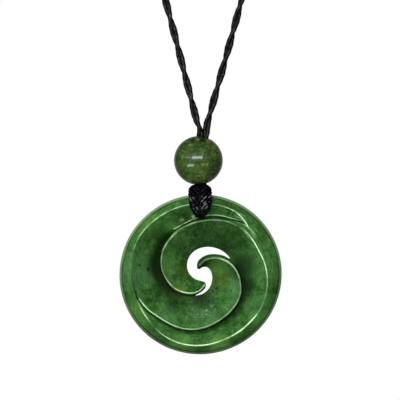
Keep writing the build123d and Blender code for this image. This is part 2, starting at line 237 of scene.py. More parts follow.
# Carved disc. One piece of nephrite jade, ground into two fronds that wind round a pierced centre, each
# with a hollow slope up to a sharp crest, then polished. A hole near the top takes the lashing.
DISC_THICKNESS = 0.0064
OVAL_SHARE = 0.009  # by which the hand-cut outline is longer one way and shorter across
OVAL_TURN = -15  # clockwise turn from +X of the longer way, degrees
RIM_SHARE = 0.42  # height of the rim's widest line above the flat back, of the thickness
RIM_START = 25  # slope at which the rim leaves the outer crest, degrees
BACK_SOFTENING = 0.0016
CORD_HOLE_RADIUS = 0.00145
CORD_HOLE_DEPTH = 0.0076
CORD_HOLE_SHARE = 0.7725  # its height above the disc's centre, of the disc's radius
STEP = 3
TURN_STEPS = 360 // STEP
UPPER_TIP, UPPER_END = -120 // STEP, 315 // STEP
LOWER_TIP, LOWER_END = 60 // STEP, 528 // STEP
LOWER_HORN = 105 // STEP  # where the slot beside the lower tip closes
UPPER_HORN = -27 // STEP  # where the slot beside the upper tip closes
LOWER_LAST = UPPER_HORN + TURN_STEPS  # the same place, counted along the lower frond
TIP_ROUNDING = 9  # turn over which a tip rounds off, degrees
END_TAPER = 10  # turn over which a frond runs out into its neighbour's crest, degrees
TIP_WALL_SHARE = 0.04
CREST_LINE = 0.0006  # width over which a crest's painted highlight fades on its slope
GROOVE_START = 24  # steps over which a groove gains its depth of shade past its horn
ACROSS = (0, 0.03, 0.11, 0.24, 0.39, 0.55, 0.71, 0.85, 0.95, 1)  # rows up a frond's slope, for the polish
WALL_ROWS = (0, 0.08, 0.5, 0.92, 1)  # rows up the wall of the pierced hole
WALL_SHADE = 0.35  # depth of shade on a slot's wall
RIM_ROWS = (0.06, 0.27, 0.5, 0.75, 1)  # rows from the outer crest to the widest line, shares of the turn
RIM_BAND = 0.0016  # width over which the rim's painted shade line and painted reflection band fade in, inside the outline
BACK_CELLS = 3
BACK_ROWS = (0, 0.06, 1)
SHALLOW_FOOT = 0.62  # height from which a groove's foot has no shade, of the thickness
SHADE_SPAN = 0.26  # drop of the foot over which the shade deepens fully
SHADE_REACH, SHADE_WIDENING = 0.18, 0.34  # of a groove's shade up the slope, and how much further if deep
STRIP_LOOK = -0.6  # edge's value in the middle of a level strip, which keeps its two lines apart
SHARP_ANGLE = 50  # between faces that meet in a sharp edge, degrees

# Each frond by the clockwise turn from its own tip, in degrees. crest: radius of its high edge; wall: width
# of the steep outer side; flat: width of a level strip between them; all shares of the disc's radius.
# foot: height of its inner edge, and height: of its crest, shares of the thickness. scoop: how hollow the
# slope between them is. line: strength of a painted highlight along the crest's edge; where negative,
# of a painted dark line of shade.
Frond = namedtuple("Frond", "turn crest wall foot scoop line height flat", defaults=(1, 0))
UPPER_FROND = [Frond(*row) for row in (
    (0, 0.099, 0.003, 0.5, 1.3, 0.2, 0.74), (12, 0.1, 0.046, 0.5, 1.3, 0.2, 0.8),
    (30, 0.125, 0.07, 0.5, 1.3, 0.22, 0.85), (48, 0.183, 0.066, 0.48, 1.3, 0.25, 0.88),
    (66, 0.251, 0.056, 0.48, 1.3, 0.3, 0.91), (90, 0.349, 0.048, 0.47, 1.4, 0.55, 0.95),
    (110, 0.433, 0.022, 0.46, 1.4, 0.7, 0.98), (130, 0.498, 0.02, 0.46, 1.4, 0.72),
    (150, 0.553, 0.022, 0.46, 1.4, 0.88), (170, 0.581, 0.024, 0.46, 1.5, 0.82),
    (190, 0.612, 0.026, 0.46, 1.5, 0.98), (210, 0.663, 0.026, 0.45, 1.6, 0.88),
    (230, 0.703, 0.026, 0.43, 1.7, 0.94), (243, 0.716, 0.026, 0.4, 1.8, 1.16),
    (256, 0.739, 0.024, 0.37, 1.9, 1.5), (266, 0.778, 0.02, 0.35, 1.9, 1.25),
    (276, 0.806, 0.02, 0.34, 1.9, 0.8), (284, 0.828, 0.02, 0.34, 1.9, -0.6),
    (294, 0.843, 0.02, 0.34, 1.9, -0.6), (310, 0.862, 0.02, 0.36, 1.8, 0),
    (330, 0.891, 0.02, 0.41, 1.5, 0.45), (350, 0.882, 0.02, 0.48, 1.1, 0.55),
    (366, 0.878, 0.02, 0.6, 0.8, 0.5), (383, 0.878, 0.02, 0.7, 0.6, 0.5),
    (400, 0.885, 0.02, 0.76, 0.5, 0.25), (412, 0.891, 0.02, 0.8, 0.5, 0.4),
    (420, 0.888, 0.02, 0.82, 0.5, 0.58), (427, 0.866, 0.02, 0.83, 0.5, 0.7),
    (435, 0.846, 0.02, 0.84, 0.5, 0.7),
)]
LOWER_FROND = [Frond(*row) for row in (
    (0, 0.142, 0.004, 0.5, 1.3, 0.3, 0.74), (12, 0.143, 0.038, 0.5, 1.3, 0.7, 0.8),
    (30, 0.188, 0.036, 0.5, 1.3, 0.85, 0.86), (48, 0.237, 0.038, 0.48, 1.3, 0.85, 0.9),
    (70, 0.291, 0.026, 0.48, 1.4, 0.8, 0.94, 0.01), (90, 0.354, 0.02, 0.47, 1.4, 0.6, 0.97, 0.014),
    (110, 0.42, 0.02, 0.46, 1.4, 0.52, 1, 0.004), (130, 0.489, 0.022, 0.46, 1.4, 0.32),
    (150, 0.547, 0.022, 0.46, 1.4, 0.38), (170, 0.584, 0.024, 0.46, 1.5, 0.38),
    (190, 0.62, 0.024, 0.46, 1.5, 0.22), (210, 0.662, 0.024, 0.45, 1.6, 0.4),
    (230, 0.713, 0.022, 0.44, 1.6, 0.22), (240, 0.742, 0.02, 0.44, 1.6, 0.3, 1, 0.004),
    (252, 0.762, 0.018, 0.44, 1.6, 0.18, 1, 0.062), (264, 0.771, 0.018, 0.43, 1.7, 0.68, 1, 0.048),
    (278, 0.779, 0.018, 0.4, 1.8, 0.98, 1, 0.034), (292, 0.808, 0.018, 0.37, 1.9, 0.85, 1, 0.02),
    (310, 0.836, 0.018, 0.36, 1.9, 0.32, 1, 0.008), (330, 0.851, 0.018, 0.43, 1.7, 0.22),
    (342, 0.845, 0.018, 0.48, 1.5, 0.78), (352, 0.846, 0.018, 0.5, 1.3, 0.92),
    (370, 0.851, 0.018, 0.52, 1, 0.48), (390, 0.872, 0.018, 0.56, 0.7, 0.8),
    (410, 0.883, 0.018, 0.6, 0.55, 0.74), (430, 0.867, 0.018, 0.66, 0.5, 0.2),
    (438, 0.854, 0.018, 0.7, 0.5, 0.2), (444, 0.847, 0.018, 0.72, 0.5, 0.78),
    (452, 0.843, 0.018, 0.77, 0.5, 0.58), (460, 0.84, 0.018, 0.8, 0.5, -0.1),
    (468, 0.838, 0.018, 0.84, 0.5, -0.4),
)]

# Edge of the pierced hole along each frond's inner side, up to the horn of the other frond's slot
Edge = namedtuple("Edge", "turn radius")
UPPER_EDGE = [Edge(*row) for row in (
    (0, 0.079), (12, 0.067), (24, 0.07), (36, 0.08), (52, 0.097), (75, 0.121), (98, 0.131),
    (120, 0.139), (150, 0.163), (180, 0.206), (205, 0.247), (225, 0.276),
)]
LOWER_EDGE = [Edge(*row) for row in (
    (0, 0.114), (12, 0.096), (30, 0.083), (60, 0.083), (85, 0.096), (110, 0.12), (135, 0.163),
    (160, 0.217), (190, 0.287), (220, 0.343), (250, 0.391), (273, 0.419),
)]

# A corner of the disc's surface. edge: 1 on a crest; groove: strength of the painted shade, 1 at the foot of
# a groove; line: as in the fronds' tables; rim: 1 on the rim, which carries a painted dark line of shade
# and a pale band of painted reflection.
Spot = namedtuple("Spot", "radius height edge groove line rim", defaults=(0, 0, 0, 0))
SPOT_LOOKS = Spot._fields[2:]


def smooth(rows, column, turn):
    """A column's value at a turn, on a smooth curve through the table's rows."""
    turns = [row.turn for row in rows]
    values = [getattr(row, column) for row in rows]
    last = len(rows) - 1
    low = min(max(bisect_right(turns, turn) - 1, 0), last - 1)
    span = turns[low + 1] - turns[low]
    share = min(max((turn - turns[low]) / span, 0), 1)
    rest = 1 - share

    def slope(row):
        before = max(row - 1, 0)
        after = min(row + 1, last)
        return (values[after] - values[before]) / (turns[after] - turns[before]) * span

    ends = values[low] * rest * rest * (1 + 2 * share) + values[low + 1] * share * share * (1 + 2 * rest)
    return ends + share * rest * (slope(low) * rest - slope(low + 1) * share)


def outer_crest(rows, turn):
    """Radius of the outer side of a frond's crest."""
    return (smooth(rows, "crest", turn) + max(smooth(rows, "flat", turn), 0)) * DISC_RADIUS


# Lip of the narrow groove near each frond's end, where its surface turns from steep to nearly level.
# across: share of the slope's width; rise: share of its height; kink: how distinct the lip is.
Lip = namedtuple("Lip", "turn across rise kink")
UPPER_LIP = [Lip(*row) for row in (
    (345, 0.12, 0.2, 0), (362, 0.02, 0.22, 0.9), (373, 0.02, 0.3, 1), (384, 0.05, 0.42, 1),
    (400, 0.19, 0.66, 1), (418, 0.24, 0.8, 1), (435, 0.3, 0.9, 1),
)]
LOWER_LIP = [Lip(*row) for row in (
    (365, 0.6, 0.7, 0), (388, 0.5, 0.78, 0.7), (404, 0.4, 0.82, 0.9), (420, 0.32, 0.84, 1),
    (440, 0.28, 0.86, 1), (468, 0.3, 0.9, 1),
)]
LIP_ROW = 3  # the row of ACROSS that follows the lip
Level = namedtuple("Level", "turn line")  # the line of the outer edge of a level strip
STRIP_EDGE = [
    Level(0, 0.45), Level(110, 0.45), Level(235, 0.0), Level(250, 0.2), Level(262, 0.3), Level(272, -0.3),
]
LIP_LINE_START = 358  # turn from which the upper frond's lip gets a painted highlight too
LIP_LINE = 0.5


def slope_rows(rows, lips, turn):
    """Rows up a frond's slope at a turn: shares of its width and of its height."""
    scoop = smooth(rows, "scoop", turn)
    plain = [(across, across**scoop) for across in ACROSS]
    if turn <= lips[0].turn:
        return plain
    lip, rise, kink = (smooth(lips, column, turn) for column in ("across", "rise", "kink"))
    kinked = []
    for row, across in enumerate(ACROSS):
        if row <= LIP_ROW:
            share = across / ACROSS[LIP_ROW]
            kinked.append((lip * share, rise * share**0.9))
        else:
            share = (across - ACROSS[LIP_ROW]) / (1 - ACROSS[LIP_ROW])
            kinked.append((lip + (1 - lip) * share, rise + (1 - rise) * share**1.5))
    return [
        (flat[0] + (bent[0] - flat[0]) * kink, flat[1] + (bent[1] - flat[1]) * kink)
        for flat, bent in zip(plain, kinked)
    ]


def frond_section(rows, lips, turn, inner, end_turn, end_crest, groove):
    """Spots across one frond from its inner edge to the outer side of its crest."""
    crest = smooth(rows, "crest", turn) * DISC_RADIUS
    outer = outer_crest(rows, turn)
    foot = smooth(rows, "foot", turn) * DISC_THICKNESS
    height = min(smooth(rows, "height", turn), 1) * DISC_THICKNESS
    if turn < TIP_ROUNDING:
        opened = sqrt(1 - (1 - turn / TIP_ROUNDING) ** 2)
        radius = (inner + outer) / 2
        level = (foot + height) / 2
    else:
        opened = sqrt(1 - (1 - min((end_turn - turn) / END_TAPER, 1)) ** 2)
        radius = end_crest
        level = height
    depth = min(max((SHALLOW_FOOT * DISC_THICKNESS - foot) / (SHADE_SPAN * DISC_THICKNESS), 0), 1)
    line = smooth(rows, "line", turn)
    spots = []
    for row, (across, up) in enumerate(slope_rows(rows, lips, turn)):
        edge = max(1 - (1 - across) * (crest - inner) / CREST_LINE, 0)
        shade = groove * depth * max(1 - across / (SHADE_REACH + SHADE_WIDENING * depth), 0)
        pale = line
        if row == LIP_ROW and lips is UPPER_LIP and turn > LIP_LINE_START:
            edge, pale = 1, LIP_LINE
        spots.append(Spot(inner + (crest - inner) * across, foot + (height - foot) * up, edge, shade, pale))
    spots.append(Spot((crest + outer) / 2, height, 0 if outer == crest else STRIP_LOOK, 0, line))
    spots.append(Spot(outer, height, 1, 0, line if outer == crest else smooth(STRIP_EDGE, "line", turn)))
    return [
        spot._replace(
            radius=radius + (spot.radius - radius) * opened, height=level + (spot.height - level) * opened
        )
        for spot in spots
    ]


def slot_wall(section, horn_height, wall):
    """The side of a slot: from the crest's outer side to the slot's edge and down to the flat back."""
    crest = section[-1]
    tip_share = min((crest.radius - section[0].radius) / (TIP_WALL_SHARE * DISC_RADIUS), 1)
    edge = crest.radius + wall * DISC_RADIUS * tip_share
    return [crest] + [Spot(edge, horn_height * row, groove=WALL_SHADE) for row in reversed(WALL_ROWS)]


def hole_wall(spot):
    """The wall of the pierced hole under a spot of its upper edge."""
    return [Spot(spot.radius, spot.height * row) for row in WALL_ROWS[:-1]] + [spot]


def rim(section, step):
    """The rounded rim: from the outermost crest out to the outline and in to the flat back."""
    radius, height = section[-1][:2]
    outline = DISC_RADIUS * (1 + OVAL_SHARE * cos(2 * radians(step * STEP - OVAL_TURN)))
    widest = RIM_SHARE * DISC_THICKNESS
    start = radians(RIM_START)
    spots = [section[-1]]
    for row in RIM_ROWS:
        angle = start + (pi / 2 - start) * row
        out = (sin(angle) - sin(start)) / (1 - sin(start))
        down = cos(angle) / cos(start)
        share = max(1 - (outline - radius) * (1 - out) / RIM_BAND, 0)
        spots.append(Spot(radius + (outline - radius) * out, widest + (height - widest) * down, rim=share))
    for cell in range(1, BACK_CELLS + 1):
        angle = pi / 2 * cell / BACK_CELLS
        out = outline - BACK_SOFTENING * (1 - cos(angle))
        spots.append(Spot(out, widest * (1 - sin(angle)), rim=cos(angle)))
    return spots


def flat_back(near, far, rows):
    """Spots on the flat back from under one spot to under another."""
    return [Spot(near.radius + (far.radius - near.radius) * row, 0) for row in rows]


def frond(rows, lips, edges, tip, end, others, other_tip, horn):
    """Sections of a frond by step, from its tip to its end. Past the horn it begins at the other's crest."""
    run_out = outer_crest(others, (end - other_tip) * STEP)
    sections = {}
    for step in range(tip, end + 1):
        turn = (step - tip) * STEP
        inner = smooth(edges, "radius", turn) * DISC_RADIUS
        if step >= horn:
            other_turn = (step - other_tip) * STEP
            inner = outer_crest(others, other_turn) + smooth(others, "wall", other_turn) * DISC_RADIUS
        groove = min(max((step - horn) / GROOVE_START, 0), 1)
        sections[step] = frond_section(rows, lips, turn, inner, (end - tip) * STEP, run_out, groove)
    return sections


def slot(rows, sections, tip, horn, own_hole, facing_hole):
    """The outer side of a slot by step, from a frond's tip to the horn where it closes."""
    walls = {}
    for step in range(tip, horn):
        wall = smooth(rows, "wall", (step - tip) * STEP)
        walls[step] = slot_wall(sections[step], facing_hole[-1].height, wall)
    for step, hole in ((tip, own_hole), (horn, facing_hole)):
        walls[step] = [sections[step][-1]] + hole[::-1]
    return walls


upper = frond(UPPER_FROND, UPPER_LIP, UPPER_EDGE, UPPER_TIP, UPPER_END, LOWER_FROND, LOWER_TIP, LOWER_HORN)
lower = frond(
    LOWER_FROND, LOWER_LIP, LOWER_EDGE, LOWER_TIP, LOWER_END, UPPER_FROND, UPPER_TIP + TURN_STEPS, LOWER_LAST
)
upper_hole = {step: hole_wall(upper[step][0]) for step in range(UPPER_TIP, LOWER_HORN + 1)}
lower_hole = {step: hole_wall(lower[step][0]) for step in range(LOWER_TIP, LOWER_LAST + 1)}
upper_slot = slot(UPPER_FROND, upper, UPPER_TIP, UPPER_HORN, upper_hole[UPPER_TIP], lower_hole[LOWER_LAST])
lower_slot = slot(LOWER_FROND, lower, LOWER_TIP, LOWER_HORN, lower_hole[LOWER_TIP], upper_hole[LOWER_HORN])
upper_walled = range(UPPER_HORN, LOWER_END - TURN_STEPS + 1)
upper_groove = {step: [upper[step][-1], lower[step + TURN_STEPS][0]] for step in upper_walled}
lower_walled = range(LOWER_HORN, UPPER_END + 1)
lower_groove = {step: [lower[step][-1], upper[step][0]] for step in lower_walled}
upper_rim = {step: rim(upper[step], step) for step in range(LOWER_END - TURN_STEPS, UPPER_END + 1)}
lower_rim = {step: rim(lower[step], step) for step in range(UPPER_END, LOWER_END + 1)}
carving = [upper, lower, upper_hole, lower_hole, upper_slot, lower_slot]
carving += [upper_groove, lower_groove, upper_rim, lower_rim]
for columns in (upper, lower):
    carving.append({step: flat_back(spots[0], spots[-1], BACK_ROWS) for step, spots in columns.items()})
for columns in (upper_slot, lower_slot, upper_groove, lower_groove, upper_rim, lower_rim):
    carving.append({step: flat_back(spots[0], spots[-1], (0, 1)) for step, spots in columns.items()})

corners = {}
spots_of_corners = []
faces = []


def corner(step, spot):
    """The number of the cage's corner at a spot, which neighbouring strips share."""
    angle = -radians(step % TURN_STEPS * STEP)
    out, up = spot.radius * cos(angle), spot.radius * sin(angle)
    place = disc_centre + Vector((out, DISC_THICKNESS / 2 - spot.height, up))
    key = tuple(round(value, 7) for value in place)
    if key not in corners:
        corners[key] = len(corners)
        spots_of_corners.append(spot)
    return corners[key]


for columns in carving:
    steps = sorted(columns)
    for step, following in zip(steps, steps[1:]):
        near = [corner(step, spot) for spot in columns[step]]
        far = [corner(following, spot) for spot in columns[following]]
        for cell in zip(near, far, far[1:], near[1:]):
            ring = list(dict.fromkeys(cell))
            if len(ring) > 2:
                faces.append(ring)
cage_mesh = bpy.data.meshes.new("disc cage")
cage_mesh.from_pydata(list(corners), [], faces)
cage_mesh.validate()
for name in SPOT_LOOKS:
    values = [getattr(spot, name) for spot in spots_of_corners]
    cage_mesh.attributes.new(name, "FLOAT", "POINT").data.foreach_set("value", values)
cage_faces = bmesh.new()
cage_faces.from_mesh(cage_mesh)
bmesh.ops.recalc_face_normals(cage_faces, faces=cage_faces.faces)
cage_faces.to_mesh(cage_mesh)
cage_faces.free()
cage = show("disc cage", cage_mesh)


def linear(red, green, blue):
    """A colour of the screen, 0 to 255, as the light it stands for."""
    values = [value / 255 for value in (red, green, blue)]
    return (*(((value + 0.055) / 1.055) ** 2.4 if value > 0.04 else value / 12.92 for value in values), 1)


def new_tree(kind, name, inputs, outputs):
    """An empty node group with named inputs and outputs, given as name: kind of socket, and its inputs."""
    tree = bpy.data.node_groups.new(name, kind)
    for in_out, sockets in (("INPUT", inputs), ("OUTPUT", outputs)):
        for label, socket in sockets.items():
            tree.interface.new_socket(label, in_out=in_out, socket_type=f"NodeSocket{socket}")
    given = tree.nodes.new("NodeGroupInput").outputs
    return tree, {socket.name: Field(socket) for socket in given}


def blend(share, first, second, mode="MIX"):
    """A mix of two colours."""
    tree = tree_of(share, first, second)
    return field(tree, "ShaderNodeMix", {0: share, 6: first, 7: second}, 2, data_type="RGBA", blend_type=mode)


def noise(place, scale, detail=3.0, roughness=0.55, distortion=0.0):
    """The strength of a noise at a place."""
    return field(place.tree, "ShaderNodeTexNoise", {
        "Vector": place, "Scale": scale, "Detail": detail, "Roughness": roughness, "Distortion": distortion,
    })


# Nephrite: clouds of deeper and paler green, fine mottling, and a few dark mineral specks
LOOK = {"Color": "Color", "Roughness": "Float", "Height": "Float"}
nephrite, stone = new_tree("ShaderNodeTree", "Nephrite", {
    "Place": "Vector", "Deep": "Color", "Body": "Color", "Pale": "Color", "Cloud Scale": "Float",
    "Wisps": "Float", "Specks": "Float",
}, LOOK)
place = stone["Place"]
clouds = noise(place, stone["Cloud Scale"], 4.0, 0.55, 0.3)
wisps = noise(place, stone["Cloud Scale"] * 6.0, 6.0, 0.7, 0.2)
colour = blend(ramp(clouds, 0.32, 0.68), stone["Deep"], stone["Body"])
colour = blend(ramp(wisps, 0.36, 0.78) * stone["Wisps"], colour, stone["Pale"])
for scale, detail, roughness, strength in ((620.0, 7.0, 0.78, 0.33), (2600.0, 4.0, 0.7, 0.34)):
    mottle = ramp(noise(place, scale, detail, roughness), 0.3, 0.7, 0.5 - strength, 0.5 + strength)
    colour = blend(0.5, colour, mottle, "OVERLAY")
grains = add(nephrite, "ShaderNodeTexVoronoi", {"Vector": place, "Scale": 420.0, "Randomness": 1.0}).outputs
chance = field(nephrite, "ShaderNodeSeparateColor", {0: grains["Color"]})
small = ramp(Field(grains["Distance"]), 0.05, 0.22, 1.0, 0.0)
colour = blend(small * ramp(chance, 0.86, 0.9) * stone["Specks"], colour, linear(14, 26, 16))
add(nephrite, "NodeGroupOutput", {
    "Color": colour,
    "Roughness": ramp(wisps, 0.3, 0.7, 0.34, 0.46),
    "Height": noise(place, 1100.0, 3.0),
})


def bumped(tree, height, distance, strength):
    """A normal that follows a fine relief."""
    return field(tree, "ShaderNodeBump", {"Height": height, "Distance": distance, "Strength": strength})


def jade(name, centre, shades, relief, values):
    """A material of nephrite. Also its shader, the place from the piece's centre and the stone's colour."""
    material, shader = new_material(name, values)
    paint = material.node_tree
    everywhere = field(paint, "ShaderNodeTexCoord", output="Object")
    place = field(paint, "ShaderNodeMapping", {"Vector": everywhere, "Location": -centre})
    look = add(paint, "ShaderNodeGroup", {"Place": place, **shades}, node_tree=nephrite).outputs
    feed(shader, {"Roughness": look["Roughness"], "Normal": bumped(paint, look["Height"], *relief)})
    return material, shader, place, Field(look["Color"])


# A patch of another colour: its place right of and above the piece's centre and its reach, in
# millimetres, the shade and its strength
Tint = namedtuple("Tint", "right up reach shade strength")
DARK, PALE, MILKY, OLIVE, UMBER = (8, 26, 6), (86, 136, 62), (84, 132, 80), (84, 108, 34), (40, 62, 14)
SPECK, HOLE_LIP_HIGHLIGHT = (9, 20, 10), (150, 170, 146)
# Of the disc's patches, the dark ones in the valleys left and right of the hole are painted shade, the two
# pale ones at the bottom of the rim are painted light, and the small pale one beside the cord hole's lip is a
# painted highlight.
DISC_TINTS = [Tint(*row) for row in (
    (1.2, 4.2, 12, DARK, 0.6), (0, -8, 8.5, DARK, 0.31), (1.4, -11.2, 5, MILKY, 0.22),
    (5.2, -1, 4, OLIVE, 0.25), (8.8, -3.2, 3.2, MILKY, 0.42), (-5.2, -4.4, 2.8, OLIVE, 0.55),
    (-4.4, 1, 2.7, UMBER, 0.6), (4.2, 2.6, 3.7, PALE, 0.44), (-11.8, 2.2, 3.8, DARK, 0.9),
    (-10.4, -4.2, 3.2, DARK, 0.52), (-9.6, 7.8, 2.4, DARK, 0.38), (-6.6, -7.2, 3.5, DARK, 0.67),
    (-8.6, -10.4, 4, MILKY, 0.21), (0.2, -6.4, 3.4, DARK, 0.55), (10.8, 2, 4.7, DARK, 0.91),
    (11.6, -2.6, 3.6, DARK, 0.82), (8, 8.4, 6.4, DARK, 0.42), (14.4, -8.6, 4.8, MILKY, 0.19),
    (15.6, -12.2, 5, PALE, 0.33), (-15.6, 1.2, 6.4, MILKY, 0.34), (-16.5, -10, 6, PALE, 0.33),
    (5.4, 15.8, 4.8, DARK, 0.38), (-9.8, 10, 3.4, DARK, 0.5), (-12.6, 12.8, 4, PALE, 0.24),
    (-5.4, 10.2, 4, PALE, 0.2), (-4.2, 13.9, 3.5, DARK, 0.6), (-8, 2.6, 4, PALE, 0.31),
    (15, 3, 7.5, MILKY, 0.13), (5, -18.4, 4.4, PALE, 0.68), (-4.8, -18.4, 4.4, PALE, 0.42),
    (-1.8, 14.3, 0.6, HOLE_LIP_HIGHLIGHT, 0.6), (-15.1, 2.3, 0.45, SPECK, 0.86), (-13, 1.3, 0.62, SPECK, 0.97),
    (-7.9, -4.4, 0.5, SPECK, 0.91), (-12.8, -6.4, 1.3, SPECK, 0.68), (-1.2, 9.5, 0.52, SPECK, 0.79),
    (4, -3.4, 0.48, SPECK, 0.79), (7.5, -4, 0.48, SPECK, 0.79), (7.5, 7, 0.4, SPECK, 0.59),
    (-6.6, 9, 0.45, SPECK, 0.69),
)]


def tinted(place, colour, tints):
    """A colour with patches of other shades, which go right through the piece from front to back."""
    flattened = place * (1, 0, 1)
    for tint in tints:
        right, up, reach = (value / 1000 for value in tint[:3])
        share = ramp(flattened.of("DISTANCE", (right, 0, up)), 0.2 * reach, reach, tint.strength, 0.0)
        colour = blend(share, colour, linear(*tint.shade))
    return colour


disc_jade, shader, centred, colour = jade("disc jade", disc_centre, {
    "Deep": linear(28, 66, 20), "Body": linear(45, 88, 35), "Pale": linear(84, 125, 72),
    "Cloud Scale": 110.0, "Wisps": 0.45, "Specks": 0.7,
}, (0.00001, 0.35), {
    "IOR": 1.5, "Subsurface Weight": 0.2, "Subsurface Radius": (0.5, 1.0, 0.4), "Subsurface Scale": 0.0012,
    "Specular IOR Level": 0.05,
})
colour = tinted(centred, colour, DISC_TINTS)
# A painted reflection: pale specks of a soft sheen, painted in a flat oval on the lower frond's slope below
# the hole
SHEEN_OVAL_STRETCH, SHEEN_OVAL_CENTRE, SHEEN_OVAL_REACH = (0.8, 0, 1.6), (0.0002, 0, -0.0148), 0.0052
painted_sheen = ramp((centred * SHEEN_OVAL_STRETCH).of("DISTANCE", SHEEN_OVAL_CENTRE), 0.001, SHEEN_OVAL_REACH, 0.45, 0.0)
painted_sheen = ramp(noise(centred, 1500.0, 4.0, 0.7), 0.52, 0.70) * painted_sheen
colour = blend(painted_sheen, colour, linear(140, 182, 150))
# Streaks that the grinding left round the disc, and three places where they show as pale marks
flattened = centred * (1, 0, 1)
streak_place = flattened.of("NORMALIZE") * 5.0 + combine(0.0, flattened.of("LENGTH") * 3000.0, 0.0)
streaks = noise(streak_place, 1.0, 4.0, 0.6)
colour = blend(0.5, colour, ramp(streaks, 0.3, 0.7, 0.32, 0.68), "OVERLAY")
marks = ramp(noise(streak_place * (0.6, 2.4, 0.6), 1.0, 1.0), 0.50, 0.62)
for right, up, reach, strength in (
    (0.0122, 0.0103, 0.0024, 0.80), (0.0097, 0.0140, 0.0018, 0.50), (-0.0047, 0.0135, 0.0009, 0.45),
):
    near = ramp(flattened.of("DISTANCE", (right, 0, up)), 0.3 * reach, reach, strength, 0.0)
    colour = blend(marks * near, colour, linear(140, 190, 126))
# Painted shade in the grooves, a painted dark line of shade and a pale band of painted reflection on the
# rim, and painted highlights along the crests, with painted dark lines of shade where a crest's line is
# negative
edge, groove, line, rim_share = (
    field(centred.tree, "ShaderNodeAttribute", output="Fac", attribute_name=name) for name in SPOT_LOOKS
)
edge = ramp(edge, 0.58, 0.80)
crest_highlight = line * ramp(noise(centred, 600.0, 3.0), 0.36, 0.58, 0.62, 1.12)
for share, shade in (
    (ramp(groove, 0.0, 0.62, 0.0, 0.95), (8, 28, 4)),
    (ramp(rim_share, 0.36, 0.48) * ramp(rim_share, 0.52, 0.66, 0.55, 0.0), (12, 44, 12)),
    (ramp(rim_share, 0.56, 0.72, 0.0, 0.52), (128, 150, 120)),
    (edge * ramp(crest_highlight, 0.0, 1.0), (190, 226, 178)),
    (edge * ramp(line, 0.0, -1.0), (10, 30, 10)),
):
    colour = blend(share, colour, linear(*shade))
feed(shader, {"Base Color": colour})
INPUT_KINDS = {float: "Float", int: "Int", Vector: "Vector", bpy.types.Material: "Material"}


def new_shape(name, values):
    """An empty tree of geometry nodes, and its inputs: one for each value that it will get."""
    geometry = {"Geometry": "Geometry"}
    kinds = {label: INPUT_KINDS[type(value)] for label, value in values.items()}
    tree, given = new_tree("GeometryNodeTree", name, geometry | kinds, geometry)
    tree.is_modifier = True
    return tree, given


def moved(geometry, **inputs):
    """Geometry with its points at a Position, or moved by an Offset."""
    return field(geometry.tree, "GeometryNodeSetPosition", {"Geometry": geometry, **inputs})


def placed(geometry, **inputs):
    """Geometry as a whole with a Translation or a Rotation."""
    return field(geometry.tree, "GeometryNodeTransform", {"Geometry": geometry, **inputs})


def uneven(geometry, scale, detail, height):
    """A surface with slight ripples."""
    ripples = field(geometry.tree, "ShaderNodeTexNoise", {"Scale": scale, "Detail": detail})
    outwards = field(geometry.tree, "GeometryNodeInputNormal")
    return moved(geometry, Offset=outwards * ((ripples - 0.5) * height))


def bored(solid, radius, depth, flare, turned, place):
    """A solid with a round hole, which flares at both ends, so that its edges are softened."""
    tree = solid.tree
    rod = field(tree, "GeometryNodeMeshCylinder", {
        "Vertices": 48, "Side Segments": 24, "Radius": radius, "Depth": depth,
    })
    x, y, z = parts(field(tree, "GeometryNodeInputPosition"))
    wider = (abs(z) / depth * 2.0) ** 6.0 * flare + 1.0
    cutter = placed(moved(rod, Position=combine(x * wider, y * wider, z)), Translation=place, Rotation=turned)
    solids = {"Mesh 1": solid, "Mesh 2": cutter}
    return field(tree, "GeometryNodeMeshBoolean", solids, operation="DIFFERENCE", solver="EXACT")


def close_shape(geometry, given):
    """Ends a tree: instances made real, smooth shading and the material."""
    tree = geometry.tree
    real = field(tree, "GeometryNodeRealizeInstances", {"Geometry": geometry})
    shaded = field(tree, "GeometryNodeSetShadeSmooth", {"Geometry": real})
    painted = field(tree, "GeometryNodeSetMaterial", {"Geometry": shaded, "Material": given["Material"]})
    add(tree, "NodeGroupOutput", {"Geometry": painted})


def settle(name, source, tree, values, sharp_angle=180):
    """What a tree makes of a source object, or of nothing, as a plain mesh object. The source goes."""
    if source is None:
        source = show("blank", bpy.data.meshes.new("blank"))
    modifier = source.modifiers.new(name, "NODES")
    modifier.node_group = tree
    for item in tree.interface.items_tree:
        if item.in_out == "INPUT" and item.name in values:
            modifier[item.identifier] = values[item.name]
    depsgraph = bpy.context.evaluated_depsgraph_get()
    evaluated = source.evaluated_get(depsgraph)
    mesh = bpy.data.meshes.new_from_object(evaluated, preserve_all_data_layers=True, depsgraph=depsgraph)
    bpy.data.objects.remove(source)
    if sharp_angle < 180:
        mesh.set_sharp_from_angle(angle=radians(sharp_angle))
    mesh.name = name
    return show(name, mesh)


values = {
    "Smoothing": 2, "Ripple Scale": 380.0, "Ripple Height": 0.00004,
    "Hole Place": disc_centre + Vector((0, 0, CORD_HOLE_SHARE * DISC_RADIUS)),
    "Hole Radius": CORD_HOLE_RADIUS, "Hole Flare": 0.15, "Hole Depth": CORD_HOLE_DEPTH,
    "Material": disc_jade,
}
polish, given = new_shape("Hand-ground and drilled", values)
rounded = field(polish, "GeometryNodeSubdivisionSurface", {
    "Mesh": given["Geometry"], "Level": given["Smoothing"],
})
ground = uneven(rounded, given["Ripple Scale"], 1.5, given["Ripple Height"])
close_shape(bored(
    ground, given["Hole Radius"], given["Hole Depth"], given["Hole Flare"], (radians(90), 0, 0),
    given["Hole Place"],
), given)
disc = settle("carved_disc", cage, polish, values, SHARP_ANGLE)
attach(disc, "root")
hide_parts("koru_disc")


